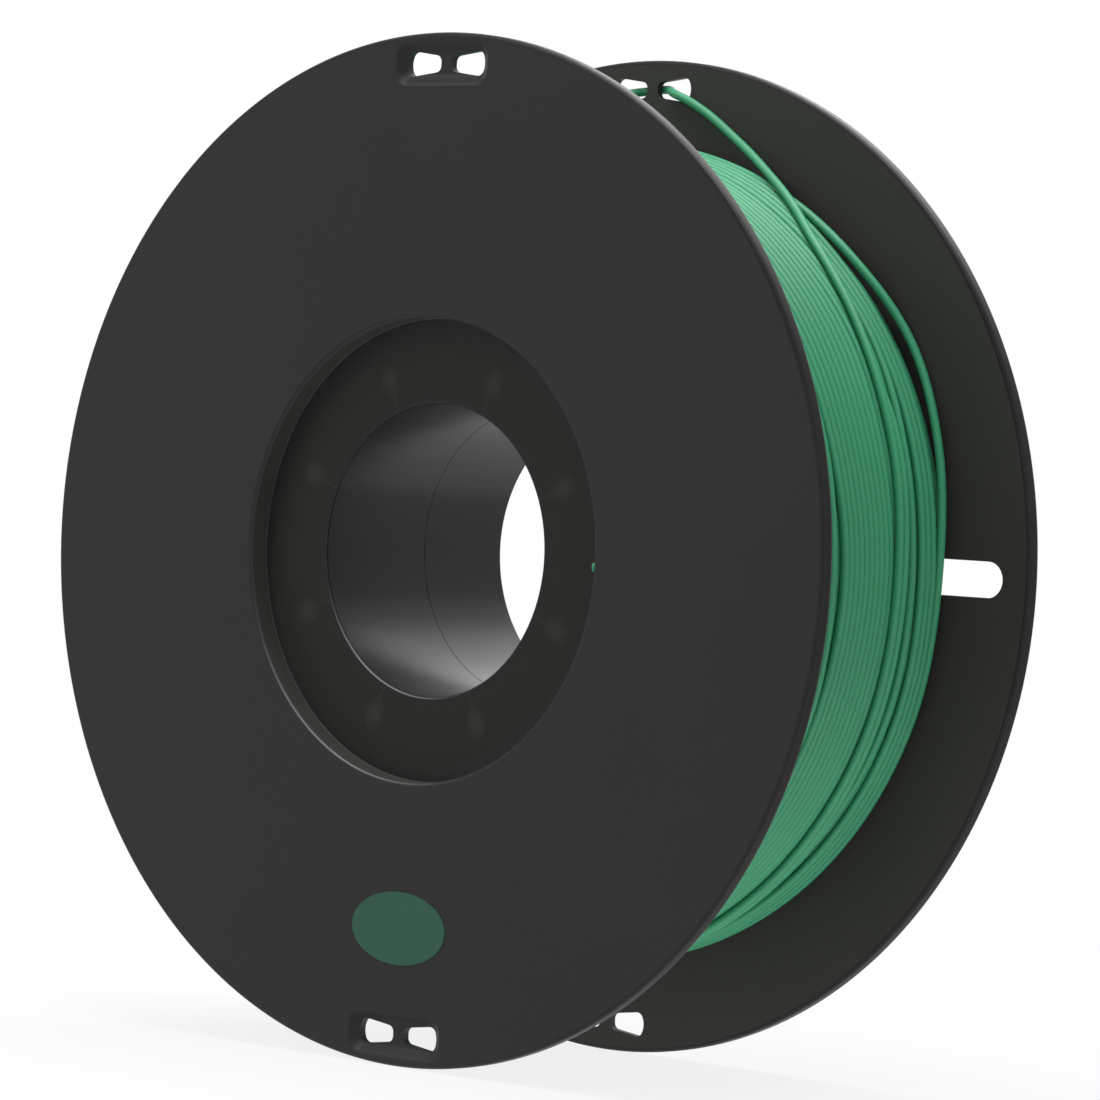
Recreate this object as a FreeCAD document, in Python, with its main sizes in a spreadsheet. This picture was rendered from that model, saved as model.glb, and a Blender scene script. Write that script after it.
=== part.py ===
import FreeCAD, Part
import math
import os
import re

import Sketcher
from FreeCAD import Placement, Rotation, Vector

# A 200 mm plastic spool of hook-up wire. Its axis lies along Y, the labelled flange faces -Y and +Z is up.
# The spool is two mouldings that butt at mid-width (Y = 0): each is a flange, a sunk hub floor,
# half of the arbor tube and half of the barrel, stiffened by ribs whose bosses carry alternate pins and sockets.
# Each half is drawn the way it leaves its mould, parting face on Y = 0 and flange towards +Y,
# and the front one is then turned over about X.

SIZES = [
    ("spool_width", 66.0, "over the outer faces of both flanges"),
    ("flange_diameter", 200.0, "outside diameter of each flange"),
    ("flange_thickness", 3.0, "flange plate"),
    ("rim_chamfer", 0.8, "broken outer edge of the flange's rim"),
    ("barrel_diameter", 95.0, "outside of the barrel that the wire is wound on"),
    ("barrel_wall", 2.5, "wall of the barrel, and of the cup that sinks the hub floor"),
    ("bore_diameter", 57.0, "arbor hole"),
    ("bore_wall", 2.2, "wall of the arbor tube"),
    ("front_floor_depth", 4.5, "hub floor below the front flange's face"),
    ("rear_floor_depth", 9.8, "hub floor below the rear flange's face"),
    ("floor_thickness", 2.0, "hub floor"),
    ("recess_edge_chamfer", 0.8, "edge between the flange's face and the hub recess"),
    ("bore_lip_chamfer", 0.5, "edge between the hub floor and the arbor hole"),
    ("pin_count", 4, "pins on each half, with a socket between each pair"),
    ("rib_thickness", 1.6, "radial ribs between the arbor tube and the barrel"),
    ("boss_circle_diameter", 70.6, "circle through the bosses' middles"),
    ("boss_diameter", 6.0, "boss round each pin and socket"),
    ("pin_diameter", 3.0, "six-sided joining pin, over its corners"),
    ("pin_length", 6.0, "joining pin, past the parting face"),
    ("socket_clearance", 0.1, "socket wider than the pin, all round"),
    ("socket_end_room", 0.5, "socket deeper than the pin is long"),
    ("anchor_rim_distance", 6.0, "middle of the anchor holes, in from the flange's rim"),
    ("anchor_hole_width", 9.2, "each anchor hole, along the rim"),
    ("anchor_wide_end", 4.8, "anchor hole's height at its outer end"),
    ("anchor_narrow_end", 3.2, "anchor hole's height beside the bridge"),
    ("anchor_bridge", 2.4, "bridge between the two anchor holes"),
    ("anchor_corner_cut", 0.7, "cut corners of the anchor holes"),
    ("pocket_width", 23.0, "shallow pocket round a pair of anchor holes"),
    ("pocket_height", 7.6, "the same pocket, along the radius"),
    ("pocket_depth", 1.5, "the same pocket, into the flange"),
    ("pocket_corner_cut", 1.3, "cut corners of the pocket"),
    ("slot_width", 7.0, "radial sight slot in the rear flange"),
    ("slot_root_distance", 4.0, "inner end of the sight slot, out from the barrel"),
    ("slot_tip_distance", 6.3, "outer end of the sight slot, in from the flange's rim"),
    ("start_hole_diameter", 2.4, "hole for the wire's inner end"),
    ("start_hole_slope", 23.0, "angle of that hole to the flange, in degrees"),
    ("start_hole_depth", 3.0, "middle of that hole in the barrel's wall, below the front face"),
    ("start_hole_drop", 1.0, "that hole, below the level of the axis"),
    ("wire_diameter", 1.75, "over the insulation"),
    ("winding_diameter", 162.6, "over the outer layer of turns"),
    ("winding_turns", 11, "turns laid side by side in the outer layer"),
    ("winding_side_room", 0.3, "between the winding and each flange"),
    ("barrel_room", 0.1, "between the inner layers and the barrel"),
    ("layer_room", 0.1, "between the outer layer and the layers below"),
    ("loose_turn_lift", 2.0, "last turn beside the rear flange, above the layer"),
    ("loose_turn_room", 0.2, "the same turn, in from the layer's last one"),
    ("loose_turn_drift", 1.0, "the same turn, from the rear flange in the quarter turn before it crosses"),
    ("crossing_room", 0.65, "between the turn that crosses the layer and the turns under it"),
    ("crossing_foot_place", 11.0, "along the axis, where that turn has crossed, a quarter turn before its end"),
    ("wire_end_turn", 11.0, "where the winding ends and the free end starts, in degrees above +X"),
    ("wire_end_place", 13.3, "the same place along the axis"),
    ("free_end_lead", 9.5, "straight run of the free end off the winding"),
    ("free_end_room", 0.1, "between the free end and the rear flange, on both faces"),
    ("free_end_slant", 1.9, "half of the slanting run through an anchor hole, along the rim"),
    ("free_end_tail", 5.3, "last run of the free end, past the second hole"),
    ("inner_end_tip", 3.5, "wire's inner end into the hub recess, from the middle of the barrel's wall"),
    ("inner_end_hidden", 6.0, "the same end into the winding"),
    ("seat_room", 0.2, "round that end inside the winding"),
    ("label_width", 24.4, "oval label"),
    ("label_height", 14.2, "oval label"),
    ("label_thickness", 0.15, "oval label"),
    ("label_rim_distance", 26.7, "middle of the label, in from the flange's rim at the foot"),
]
NAMES = {name for name, _, _ in SIZES}
RIM_OF_FLANGE = "flange_diameter / 2"
HALF_WIDTH = "spool_width / 2"
BORE = "bore_diameter / 2"
BARREL = "barrel_diameter / 2"
RECESS = "(barrel_diameter / 2 - barrel_wall)"
INNER_FACE = "(spool_width / 2 - flange_thickness)"
WALL_MIDDLE = "(barrel_diameter / 2 - barrel_wall / 2)"
ANCHOR_HEIGHT = "(flange_diameter / 2 - anchor_rim_distance)"
OUTER_END = "(anchor_bridge / 2 + anchor_hole_width)"
REACH = "(wire_diameter / 1.5)"
LAYER = "(winding_diameter / 2 - %s)" % REACH
LAYER_END = "(%s - winding_side_room - %s)" % (INNER_FACE, REACH)
HALF_TWIST = "(180 / pi * %s / %s)" % (LAYER_END, LAYER)
LAYER_FOOT = "(%s - %s * cos(60 - %s))" % (LAYER, REACH, HALF_TWIST)
RIB_ROOT = 0.4
SAMPLES_PER_ARC = 16

# The free end's lie between the winding and the anchor holes: degrees above +X, share of the climb
# from the winding to the holes' height, share of the way from the winding's end to the rear flange.
FREE_END_LIE = [
    (31, 0.0, 0.0),
    (38, 0.0, 0.06),
    (45.5, 0.0, 0.23),
    (53.5, 0.0, 0.48),
    (60, 0.08, 0.71),
    (65.5, 0.14, 0.84),
    (74.6, 0.56, 0.98),
    (81.1, 0.83, 1.0),
]

doc = FreeCAD.newDocument("wire_spool")
sheet = doc.addObject("Spreadsheet::Sheet", "sizes")
for row, (alias, number, meaning) in enumerate(SIZES, start=1):
    sheet.set("A%d" % row, meaning)
    sheet.set("B%d" % row, str(number))
    sheet.setAlias("B%d" % row, alias)
doc.recompute()


def bound(formula):
    """The formula with every size's name pointed at its cell."""
    return re.sub(r"[a-z_]+", lambda word: ("sizes." if word.group() in NAMES else "") + word.group(), formula)


def value(formula):
    """The number that a formula in the sheet's sizes gives."""
    return float(sheet.evalExpression(bound(formula)))


def bind(thing, **formulas):
    """Ties properties of an object to formulas."""
    for name, formula in formulas.items():
        thing.setExpression(name, bound(formula))


def new_body(label):
    body = doc.addObject("PartDesign::Body", label)
    body.Label = label
    return body


def new_sketch(body, name, role, distance="0", turn="0", turn_axis=Vector(0, 0, 1)):
    """A sketch on one of the body's own planes, moved along that plane's normal and turned."""
    plane = next(item for item in body.Origin.OriginFeatures if item.Role == role)
    sketch = body.newObject("Sketcher::SketchObject", body.Label + "_" + name)
    sketch.AttachmentSupport = [(plane, "")]
    sketch.MapMode = "FlatFace"
    sketch.AttachmentOffset = Placement(Vector(0, 0, value(distance)), Rotation(turn_axis, value(turn)))
    sketch.setExpression(".AttachmentOffset.Base.z", bound(distance))
    if turn != "0":
        sketch.setExpression(".AttachmentOffset.Rotation.Angle", bound(turn))
    return sketch


def hold(sketch, kind, line, point, formula):
    """Holds a point of the sketch at a formula's distance from the origin, along one axis."""
    if formula == "0":
        axis = -2 if kind == "DistanceX" else -1
        sketch.addConstraint(Sketcher.Constraint("PointOnObject", line, point, axis))
    else:
        index = sketch.addConstraint(Sketcher.Constraint(kind, -1, 1, line, point, value(formula)))
        sketch.setExpression("Constraints[%d]" % index, bound(formula))


def add_outline(sketch, corners):
    """Adds a closed outline of straight sides, each corner held at a pair of formulas."""
    points = [Vector(value(across), value(along), 0) for across, along in corners]
    first = sketch.GeometryCount
    for start, end in zip(points, points[1:] + points[:1]):
        sketch.addGeometry(Part.LineSegment(start, end))
    for number, (across, along) in enumerate(corners):
        side = first + number
        before = first + (number - 1) % len(corners)
        sketch.addConstraint(Sketcher.Constraint("Coincident", before, 2, side, 1))
        hold(sketch, "DistanceX", side, 1, across)
        hold(sketch, "DistanceY", side, 1, along)


def add_hexagon(sketch, middle, radius):
    """Adds a hexagon on the sketch's X axis, its middle and its corners' radius held at formulas."""
    add_outline(sketch, [
        ("%s + %s * cos(%d)" % (middle, radius, turn), "%s * sin(%d)" % (radius, turn) if turn % 180 else "0")
        for turn in range(0, 360, 60)
    ])


def add_circle(sketch, across, along, radius):
    """Adds a circle with its middle and its radius held at formulas."""
    middle = Vector(value(across), value(along), 0)
    circle = sketch.addGeometry(Part.Circle(middle, Vector(0, 0, 1), value(radius)))
    hold(sketch, "DistanceX", circle, 3, across)
    hold(sketch, "DistanceY", circle, 3, along)
    index = sketch.addConstraint(Sketcher.Constraint("Radius", circle, value(radius)))
    sketch.setExpression("Constraints[%d]" % index, bound(radius))


def add_slot(sketch, inner_end, outer_end, half_width):
    """Adds a round-ended slot along the sketch's X axis between two formulas."""
    reach = value(half_width)
    near = Vector(value(inner_end) + reach, 0, 0)
    far = Vector(value(outer_end) - reach, 0, 0)
    up = Vector(0, reach, 0)
    quarter = math.pi / 2
    circle_far = Part.Circle(far, Vector(0, 0, 1), reach)
    circle_near = Part.Circle(near, Vector(0, 0, 1), reach)
    end_far = sketch.addGeometry(Part.ArcOfCircle(circle_far, -quarter, quarter))
    top = sketch.addGeometry(Part.LineSegment(far + up, near + up))
    end_near = sketch.addGeometry(Part.ArcOfCircle(circle_near, quarter, 3 * quarter))
    bottom = sketch.addGeometry(Part.LineSegment(near - up, far - up))
    sketch.addConstraint(Sketcher.Constraint("Tangent", end_far, 2, top, 1))
    sketch.addConstraint(Sketcher.Constraint("Tangent", top, 2, end_near, 1))
    sketch.addConstraint(Sketcher.Constraint("Tangent", end_near, 2, bottom, 1))
    sketch.addConstraint(Sketcher.Constraint("Tangent", bottom, 2, end_far, 1))
    hold(sketch, "DistanceY", end_far, 3, "0")
    hold(sketch, "DistanceY", end_near, 3, "0")
    hold(sketch, "DistanceX", end_far, 3, outer_end + " - " + half_width)
    hold(sketch, "DistanceX", end_near, 3, inner_end + " + " + half_width)
    index = sketch.addConstraint(Sketcher.Constraint("Radius", end_far, reach))
    sketch.setExpression("Constraints[%d]" % index, bound(half_width))


def pad(body, name, sketch, length, both_ways=False, reverse=False):
    feature = body.newObject("PartDesign::Pad", body.Label + "_" + name)
    feature.Profile = sketch
    feature.Length = value(length)
    bind(feature, Length=length)
    feature.Midplane = both_ways
    feature.Reversed = reverse
    return feature


def pocket(body, name, sketch, length=None, both_ways=False):
    """A cut from the sketch towards the flange, right through where no length is given."""
    feature = body.newObject("PartDesign::Pocket", body.Label + "_" + name)
    feature.Profile = sketch
    if length is None:
        feature.Type = "ThroughAll"
    else:
        feature.Length = value(length)
        bind(feature, Length=length)
    feature.Midplane = both_ways
    return feature


def spread(body, name, features, count):
    """Repeats features evenly round the spool's axis."""
    pattern = body.newObject("PartDesign::PolarPattern", body.Label + "_" + name)
    pattern.Originals = features
    axis = next(item for item in body.Origin.OriginFeatures if item.Role == "Y_Axis")
    pattern.Axis = (axis, [""])
    pattern.Angle = 360
    pattern.Occurrences = int(value(count))
    bind(pattern, Occurrences=count)
    body.Tip = pattern
    return pattern


def cut_corners(body, name, base, size, chosen):
    """Bevels the edges of the base feature that pass the test."""
    doc.recompute()
    names = ["Edge%d" % number for number, edge in enumerate(base.Shape.Edges, start=1) if chosen(edge)]
    feature = body.newObject("PartDesign::Chamfer", body.Label + "_" + name)
    feature.Base = (base, names)
    feature.Size = value(size)
    bind(feature, Size=size)
    return feature


def crossing(edge, places):
    """True for an edge through the flange at one of the given places, an X and a height each."""
    middle = edge.BoundBox.Center
    runs_through = edge.BoundBox.YLength > 0.9 * edge.Length
    at_place = any(abs(abs(middle.x) - x) < 0.05 and abs(abs(middle.z) - z) < 0.05 for x, z in places)
    return runs_through and at_place


def turned_section(body, floor_depth):
    """The flange, the cup with its sunk floor, the barrel's half and the arbor tube's half, turned in one."""
    floor = "(%s - %s)" % (HALF_WIDTH, floor_depth)
    under_floor = "%s - floor_thickness" % floor
    sketch = new_sketch(body, "section", "XY_Plane")
    add_outline(sketch, [
        (BORE, "0"),
        (BORE, floor + " - bore_lip_chamfer"),
        (BORE + " + bore_lip_chamfer", floor),
        (RECESS, floor),
        (RECESS, HALF_WIDTH + " - recess_edge_chamfer"),
        (RECESS + " + recess_edge_chamfer", HALF_WIDTH),
        (RIM_OF_FLANGE + " - rim_chamfer", HALF_WIDTH),
        (RIM_OF_FLANGE, HALF_WIDTH + " - rim_chamfer"),
        (RIM_OF_FLANGE, INNER_FACE),
        (BARREL, INNER_FACE),
        (BARREL, "0"),
        (RECESS, "0"),
        (RECESS, under_floor),
        (BORE + " + bore_wall", under_floor),
        (BORE + " + bore_wall", "0"),
    ])
    turned = body.newObject("PartDesign::Revolution", body.Label + "_turned")
    turned.Profile = sketch
    turned.ReferenceAxis = (sketch, ["V_Axis"])
    turned.Angle = 360
    return under_floor


def ribs_and_bosses(body, under_floor):
    """Radial ribs behind the hub floor, a boss on each, and alternate pins and sockets in the bosses."""
    half_step = "90 / pin_count"
    rib_sketch = new_sketch(body, "rib_outline", "XY_Plane", turn=half_step, turn_axis=Vector(0, 1, 0))
    inner_end = "%s + bore_wall - %s" % (BORE, RIB_ROOT)
    outer_end = "%s + %s" % (RECESS, RIB_ROOT)
    top = "%s + %s" % (under_floor, RIB_ROOT)
    add_outline(rib_sketch, [(inner_end, "0"), (outer_end, "0"), (outer_end, top), (inner_end, top)])
    rib = pad(body, "rib", rib_sketch, "rib_thickness", both_ways=True)
    ribs = spread(body, "ribs", [rib], "2 * pin_count")

    boss_sketch = new_sketch(body, "boss_outline", "XZ_Plane", turn=half_step)
    add_hexagon(boss_sketch, "boss_circle_diameter / 2", "boss_diameter / 2")
    boss = pad(body, "boss", boss_sketch, top, reverse=True)
    spread(body, "bosses", [boss], "2 * pin_count")

    pin_sketch = new_sketch(body, "pin_outline", "XZ_Plane", turn=half_step)
    add_hexagon(pin_sketch, "boss_circle_diameter / 2", "pin_diameter / 2")
    pin = pad(body, "pin", pin_sketch, "pin_length")
    spread(body, "pins", [pin], "pin_count")

    socket_sketch = new_sketch(body, "socket_outline", "XZ_Plane", turn="3 * " + half_step)
    add_hexagon(socket_sketch, "boss_circle_diameter / 2", "(pin_diameter / 2 + socket_clearance)")
    socket = pocket(body, "socket", socket_sketch, "pin_length + socket_end_room")
    return spread(body, "sockets", [socket], "pin_count")


def anchor_holes(body):
    """Two keystone holes with a bridge between them in a shallow pocket, at the top and at the foot."""
    left, right = "-pocket_width / 2", "pocket_width / 2"
    low = ANCHOR_HEIGHT + " - pocket_height / 2"
    high = ANCHOR_HEIGHT + " + pocket_height / 2"
    pocket_floor = "(%s - pocket_depth)" % HALF_WIDTH
    pocket_sketch = new_sketch(body, "anchor_pocket_outline", "XZ_Plane", distance="-" + pocket_floor)
    add_outline(pocket_sketch, [(left, low), (right, low), (right, high), (left, high)])
    shallow = pocket(body, "anchor_pocket", pocket_sketch)

    hole_sketch = new_sketch(body, "anchor_hole_outlines", "XZ_Plane")
    for side in ("", "-"):
        add_outline(hole_sketch, [
            (side + "anchor_bridge / 2", ANCHOR_HEIGHT + " - anchor_narrow_end / 2"),
            (side + OUTER_END, ANCHOR_HEIGHT + " - anchor_wide_end / 2"),
            (side + OUTER_END, ANCHOR_HEIGHT + " + anchor_wide_end / 2"),
            (side + "anchor_bridge / 2", ANCHOR_HEIGHT + " + anchor_narrow_end / 2"),
        ])
    holes = pocket(body, "anchor_holes", hole_sketch)
    pattern = spread(body, "anchors", [shallow, holes], "2")

    height = value(ANCHOR_HEIGHT)
    hole_corners = []
    for end, half_height in ((value("anchor_bridge / 2"), value("anchor_narrow_end / 2")),
                             (value(OUTER_END), value("anchor_wide_end / 2"))):
        hole_corners += [(end, height - half_height), (end, height + half_height)]
    pocket_corners = [(value(right), value(low)), (value(right), value(high))]
    holes_cut = cut_corners(body, "hole_corners", pattern, "anchor_corner_cut",
                            lambda edge: crossing(edge, hole_corners))
    return cut_corners(body, "pocket_corners", holes_cut, "pocket_corner_cut",
                       lambda edge: crossing(edge, pocket_corners))


def front_half():
    """The labelled half, with the hole that the wire's inner end comes out of."""
    body = new_body("front_half")
    under_floor = turned_section(body, "front_floor_depth")
    ribs_and_bosses(body, under_floor)
    anchor_holes(body)
    hole_sketch = new_sketch(body, "start_hole_outline", "YZ_Plane", distance=WALL_MIDDLE,
                             turn="start_hole_slope", turn_axis=Vector(0, -1, 0))
    hole_sketch.setExpression(".AttachmentOffset.Base.x", bound(HALF_WIDTH + " - start_hole_depth"))
    hole_sketch.setExpression(".AttachmentOffset.Base.y", bound("start_hole_drop"))
    add_circle(hole_sketch, "0", "0", "start_hole_diameter / 2")
    pocket(body, "start_hole", hole_sketch, "4 * barrel_wall", both_ways=True)
    body.Placement = Placement(Vector(0, 0, 0), Rotation(Vector(1, 0, 0), 180))
    return body


def rear_half():
    """The other half, with a radial slot that shows how much wire is left."""
    body = new_body("rear_half")
    under_floor = turned_section(body, "rear_floor_depth")
    ribs_and_bosses(body, under_floor)
    anchor_holes(body)
    slot_sketch = new_sketch(body, "sight_slot_outline", "XZ_Plane")
    root = BARREL + " + slot_root_distance"
    tip = RIM_OF_FLANGE + " - slot_tip_distance"
    add_slot(slot_sketch, root, tip, "slot_width / 2")
    pocket(body, "sight_slot", slot_sketch)
    return body


def turned_to(thing, across, along):
    """Turns an object so that its own Z axis lies along one direction and its X axis near another."""
    thing.Placement = Placement(Vector(0, 0, 0), Rotation(across, Vector(0, 0, 0), along, "ZXY"))


def cylinder(name, radius, half_length):
    """A cylinder on the spool's axis, reaching as far to both sides of mid-width."""
    thing = doc.addObject("Part::Cylinder", name)
    thing.Placement = Placement(Vector(0, 0, 0), Rotation(Vector(1, 0, 0), -90))
    bind(thing, Radius=radius, Height="2 * (%s)" % half_length)
    thing.setExpression("Placement.Base.y", bound("-(%s)" % half_length))
    return thing


def cut(name, base, tool):
    thing = doc.addObject("Part::Cut", name)
    thing.Base = base
    thing.Tool = tool
    return thing


def inner_end_bar(name, width, hidden):
    """A six-sided bar on the start hole's axis, from its tip in the hub recess into the winding."""
    bar = doc.addObject("Part::Prism", name)
    bar.Polygon = 6
    bind(bar, Circumradius=width + " / 2", Height="inner_end_tip + " + hidden)
    slope = math.radians(value("start_hole_slope"))
    turned_to(bar, Vector(0, 0, 1), Vector(math.cos(slope), math.sin(slope), 0))
    tip = "%s - inner_end_tip * %s(start_hole_slope)"
    bar.setExpression("Placement.Base.x", bound(tip % (WALL_MIDDLE, "cos")))
    bar.setExpression("Placement.Base.y", bound(tip % ("(start_hole_depth - %s)" % HALF_WIDTH, "sin")))
    bar.setExpression("Placement.Base.z", bound("-start_hole_drop"))
    return bar


def wire_inner_layers():
    """The layers under the outer one, drawn plain, with a seat for the wire's inner end."""
    whole = cylinder("layers_outside", LAYER_FOOT + " - layer_room", INNER_FACE + " - winding_side_room")
    barrel = cylinder("layers_inside", BARREL + " + barrel_room", HALF_WIDTH)
    seat = inner_end_bar("inner_end_seat", "(wire_diameter + 2 * seat_room)", "inner_end_hidden + seat_room")
    return cut("wire_inner_layers", cut("layers_on_barrel", whole, barrel), seat)


def arc_from(start, apex, end):
    """The arc that leaves start towards the apex and arrives at end from it."""
    middle = (start + end) * 0.5
    half = (end - start).Length / 2
    height = (apex - middle).Length
    radius = half * (apex - start).Length / height
    bulge = radius - math.sqrt(radius ** 2 - half ** 2)
    return Part.Arc(start, middle + (apex - middle) * (bulge / height), end).toShape()


def biarc(start, heading, end, last_heading):
    """Two arcs that join smoothly and keep the headings at both ends."""
    span = end - start
    a = 2 * (heading.dot(last_heading) - 1)
    b = -2 * span.dot(heading + last_heading)
    c = span.dot(span)
    reach = (-b - math.sqrt(b * b - 4 * a * c)) / (2 * a)
    apex = start + heading * reach
    last_apex = end - last_heading * reach
    joint = (apex + last_apex) * 0.5
    return [arc_from(start, apex, joint), arc_from(joint, last_apex, end)]


def round_axis(turn, radius, place, climb=0.0, travel=0.0):
    """A point round the axis, turns counted from +X towards +Z, and the wire's heading there."""
    angle = 2 * math.pi * turn
    outward = Vector(math.cos(angle), 0, math.sin(angle))
    forward = Vector(-math.sin(angle), 0, math.cos(angle))
    heading = forward * (2 * math.pi * radius) + outward * climb + Vector(0, travel, 0)
    return outward * radius + Vector(0, place, 0), heading.normalize()


def winding_stops():
    """The places that the strand is drawn through: the layer in half turns, the loose turn at the rear
    flange, and the turn that leaves it, crosses back over the layer and ends on it."""
    turns = int(value("winding_turns"))
    last = value("wire_end_turn") / 360
    layer, side = value(LAYER), value(LAYER_END)
    loose = layer + value("loose_turn_lift")
    above = layer + value("2 * %s + crossing_room" % REACH)
    pitch = 2 * side / (turns + 0.5)
    stops = []
    for step in range(2 * turns + 1):
        stops.append(round_axis(last - 1.5 - turns + step / 2, layer, pitch * step / 2 - side, travel=pitch))
    beside = side - value("loose_turn_room")
    drift = value("loose_turn_drift")
    foot, end = value("crossing_foot_place"), value("wire_end_place")
    stops.append(round_axis(last - 1, loose, beside, climb=loose - layer))
    # A quarter turn that is level at one end has at its other end a slope, per turn, of 8 times its rise.
    stops.append(round_axis(last - 0.75, above, beside - drift, travel=-8 * drift))
    stops.append(round_axis(last - 0.25, above, foot, travel=8 * (end - foot)))
    stops.append(round_axis(last, above, end))
    return stops


def strand(label, sides, reach, edges, up):
    """A strand of few sides swept along a path, the first corner of its section turned to a direction."""
    section = doc.addObject("Part::RegularPolygon", label + "_section")
    section.Polygon = sides
    bind(section, Circumradius=reach)
    turned_to(section, up, edges[0].tangentAt(edges[0].FirstParameter))
    section.Placement.Base = edges[0].valueAt(edges[0].FirstParameter)
    path = doc.addObject("Part::Feature", label + "_path")
    path.Shape = Part.Wire(edges)
    sweep = doc.addObject("Part::Sweep", label)
    sweep.Sections = [section]
    sweep.Spine = (path, [])
    sweep.Solid = True
    sweep.Frenet = False
    doc.recompute()
    area = sides / 2 * value(reach) ** 2 * math.sin(2 * math.pi / sides)
    print(label, "volume", round(sweep.Shape.Volume, 1), "section by length", round(area * path.Shape.Length, 1))
    return sweep


def wire_outer_layer():
    """The turns that show, one unbroken strand from the front flange to where the free end starts."""
    stops = winding_stops()
    turns = []
    for (start, heading), (end, last_heading) in zip(stops, stops[1:]):
        turns += biarc(start, heading, end, last_heading)
    points = [point for arc in turns for point in arc.discretize(SAMPLES_PER_ARC + 1)[:-1]]
    half_turn = 2 * SAMPLES_PER_ARC
    gap = min((point - other).Length for number, point in enumerate(points[half_turn:])
              for other in points[:number])
    print("wire_outer_layer least gap to itself", round(gap - 2 * value(REACH), 3))

    start, heading = stops[0]
    end, last_heading = stops[-1]
    straight = value("wire_diameter")
    before = Part.LineSegment(start - heading * straight, start).toShape()
    after = Part.LineSegment(end, end + last_heading * straight).toShape()
    tilt = Rotation(heading, -value(HALF_TWIST))
    up = tilt.multVec(Vector(start.x, 0, start.z))
    return strand("wire_outer_layer", 3, REACH, [before] + turns + [after], up)


def rounded_route(points):
    """Straight runs through the points, joined by arcs that leave a tenth of the shorter run straight."""
    edges = []
    leave = points[0]
    for before, corner, after in zip(points, points[1:], points[2:]):
        back, ahead = before - corner, after - corner
        trim = 0.45 * min(back.Length, ahead.Length)
        arrive = corner + back * (trim / back.Length)
        edges.append(Part.LineSegment(leave, arrive).toShape())
        leave = corner + ahead * (trim / ahead.Length)
        edges.append(arc_from(arrive, corner, leave))
    edges.append(Part.LineSegment(leave, points[-1]).toShape())
    print("bend radii", [round(edge.Curve.Radius, 1) for edge in edges[1::2]])
    return edges


def wire_free_end():
    """The wire's outer end, from the winding up to the rim, out through one anchor hole and back in."""
    end, heading = winding_stops()[-1]
    inside = value(INNER_FACE + " - free_end_room - wire_diameter / 2")
    outside = value(HALF_WIDTH + " - pocket_depth + free_end_room + wire_diameter / 2")
    height = value(ANCHOR_HEIGHT)
    on_winding = math.hypot(end.x, end.z)
    points = [end + heading * value("wire_diameter")]
    points.append(points[0] + heading * value("free_end_lead"))
    for degrees, climbed, gone in FREE_END_LIE:
        radius = on_winding + climbed * (height - on_winding)
        points.append(round_axis(degrees / 360, radius, end.y + gone * (inside - end.y))[0])
    hole = value("anchor_bridge / 2 + anchor_hole_width / 2")
    slant, tail = value("free_end_slant"), value("free_end_tail")
    for across, place, rise in ((hole + slant, inside, -0.4), (hole - slant, outside, 0.5),
                                (slant - hole, outside, 0.6), (-hole - slant, inside, 0.8),
                                (-hole - slant - tail, inside, 1.0)):
        points.append(Vector(across, place, height + rise))
    return strand("wire_free_end", 6, "(wire_diameter / 2)", rounded_route(points), Vector(end.x, 0, end.z))


def label():
    """The bare oval label on the front flange."""
    outline = doc.addObject("Part::Ellipse", "label_outline")
    outline.Placement = Placement(Vector(0, 0, 0), Rotation(Vector(1, 0, 0), 90))
    bind(outline, MajorRadius="label_width / 2", MinorRadius="label_height / 2")
    outline.setExpression("Placement.Base.y", bound("-(%s)" % HALF_WIDTH))
    outline.setExpression("Placement.Base.z", bound("label_rim_distance - " + RIM_OF_FLANGE))
    oval = doc.addObject("Part::Extrusion", "label")
    oval.Base = outline
    oval.DirMode = "Custom"
    oval.Dir = Vector(0, -1, 0)
    oval.Solid = True
    bind(oval, LengthFwd="label_thickness")
    return oval


subparts = [front_half(), rear_half(), wire_inner_layers(), wire_outer_layer(), wire_free_end()]
subparts += [inner_end_bar("wire_start_end", "wire_diameter", "inner_end_hidden"), label()]
doc.recompute()
for thing in doc.Objects:
    if "Invalid" in thing.State or "Error" in thing.State:
        raise RuntimeError("%s did not rebuild: %s" % (thing.Label, thing.State))
os.makedirs("parts", exist_ok=True)
for part in subparts:
    shape = part.Shape
    if shape.isNull() or not shape.isValid():
        raise RuntimeError(part.Label + " has no valid shape")
    shape.exportStep("parts/%s.step" % part.Label)
    print(part.Label, "solids", len(shape.Solids), "volume", round(shape.Volume, 1), shape.BoundBox)
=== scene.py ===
import math

import bmesh
import bpy
from mathutils import Matrix, Vector


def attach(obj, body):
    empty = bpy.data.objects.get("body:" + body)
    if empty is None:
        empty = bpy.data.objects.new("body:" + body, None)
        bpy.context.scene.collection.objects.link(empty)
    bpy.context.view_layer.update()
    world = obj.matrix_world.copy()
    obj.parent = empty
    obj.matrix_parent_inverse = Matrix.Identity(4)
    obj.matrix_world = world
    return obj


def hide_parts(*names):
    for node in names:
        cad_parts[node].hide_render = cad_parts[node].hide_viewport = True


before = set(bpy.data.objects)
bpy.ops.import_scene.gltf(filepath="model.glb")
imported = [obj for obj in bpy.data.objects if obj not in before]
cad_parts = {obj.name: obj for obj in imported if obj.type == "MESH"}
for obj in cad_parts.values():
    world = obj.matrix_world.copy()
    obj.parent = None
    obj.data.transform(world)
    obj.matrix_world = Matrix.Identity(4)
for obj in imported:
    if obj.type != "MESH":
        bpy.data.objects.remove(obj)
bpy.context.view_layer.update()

MM = 0.001

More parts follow.
